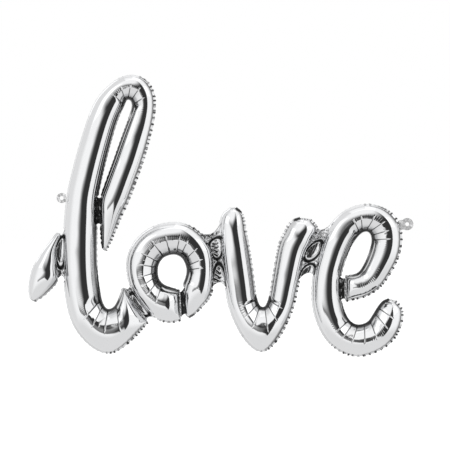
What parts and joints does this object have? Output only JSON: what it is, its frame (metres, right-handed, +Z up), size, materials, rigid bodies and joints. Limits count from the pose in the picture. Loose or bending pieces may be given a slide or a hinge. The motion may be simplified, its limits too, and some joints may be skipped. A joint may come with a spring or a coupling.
{
  "type": "script-word foil balloon",
  "caption": "Silver foil balloon shaped as a joined script word: front and rear film panels welded round the edge, letters folding at welded webs, two hang tabs.",
  "frame": {"origin": "centre of the balloon's box, in the seam plane between front and rear film", "axes": "+X right along the word, +Z up, the readable front faces -Y"},
  "size_m": [0.6942, 0.058, 0.5112],
  "materials": {
    "mirror_film": "mirror-bright metallised film, creased towards the welds",
    "welded_film": "bright metallised film, embossed and puckered by the heat seal",
    "valve_film": "milky clear film"
  },
  "bodies": {
    "letter_l": {"l_front_panel": "mirror_film", "l_rear_panel": "mirror_film", "l_margin": "welded_film", "l_leg_weld": "welded_film", "foot_l_web_l_side": "welded_film", "l_o_web_l_side": "welded_film"},
    "foot_stroke": {"foot_front_panel": "mirror_film", "foot_rear_panel": "mirror_film", "foot_margin": "welded_film", "foot_l_web_foot_side": "welded_film"},
    "letter_o": {"o_front_panel": "mirror_film", "o_rear_panel": "mirror_film", "o_margin": "welded_film", "o_slit_weld": "welded_film", "l_o_web_o_side": "welded_film", "o_v_web_o_side": "welded_film"},
    "letter_v": {"v_front_panel": "mirror_film", "v_rear_panel": "mirror_film", "v_margin": "welded_film", "o_v_web_v_side": "welded_film", "v_e_web_v_side": "welded_film"},
    "letter_e": {"e_front_panel": "mirror_film", "e_rear_panel": "mirror_film", "e_margin": "welded_film", "e_slit_weld": "welded_film", "v_e_web_e_side": "welded_film", "valve_front_ply": "valve_film", "valve_rear_ply": "valve_film"},
    "hang_tab_film": {"hang_tab": "welded_film"},
    "fill_tab_film": {"fill_tab": "welded_film"}
  },
  "joints": [
    {"name": "foot_fold", "type": "hinge", "parent": "letter_l", "child": "foot_stroke", "pos_m": [-0.28591, 0, -0.07301], "axis": [0, 0, 1], "range_deg": [-20, 20], "stiffness_Nm_per_rad": 0.03},
    {"name": "l_o_fold", "type": "hinge", "parent": "letter_l", "child": "letter_o", "pos_m": [-0.14691, 0, -0.16501], "axis": [-0.6571, 0, 0.7538], "range_deg": [-20, 20], "stiffness_Nm_per_rad": 0.08},
    {"name": "o_v_fold", "type": "hinge", "parent": "letter_o", "child": "letter_v", "pos_m": [-0.00391, 0, -0.07801], "axis": [-0.1092, 0, 0.994], "range_deg": [-20, 20], "stiffness_Nm_per_rad": 0.05},
    {"name": "v_e_fold", "type": "hinge", "parent": "letter_v", "child": "letter_e", "pos_m": [0.16759, 0, -0.07451], "axis": [0.262, 0, 0.9651], "range_deg": [-20, 20], "stiffness_Nm_per_rad": 0.05},
    {"name": "hang_tab_fold", "type": "hinge", "parent": "letter_l", "child": "hang_tab_film", "pos_m": [-0.27786, 0, 0.03199], "axis": [-0.1702, 0, -0.9854], "range_deg": [-45, 45], "stiffness_Nm_per_rad": 0.0005},
    {"name": "fill_tab_fold", "type": "hinge", "parent": "letter_e", "child": "fill_tab_film", "pos_m": [0.32504, 0, -0.01751], "axis": [-0.1483, 0, 0.9889], "range_deg": [-45, 45], "stiffness_Nm_per_rad": 0.0005}
  ]
}
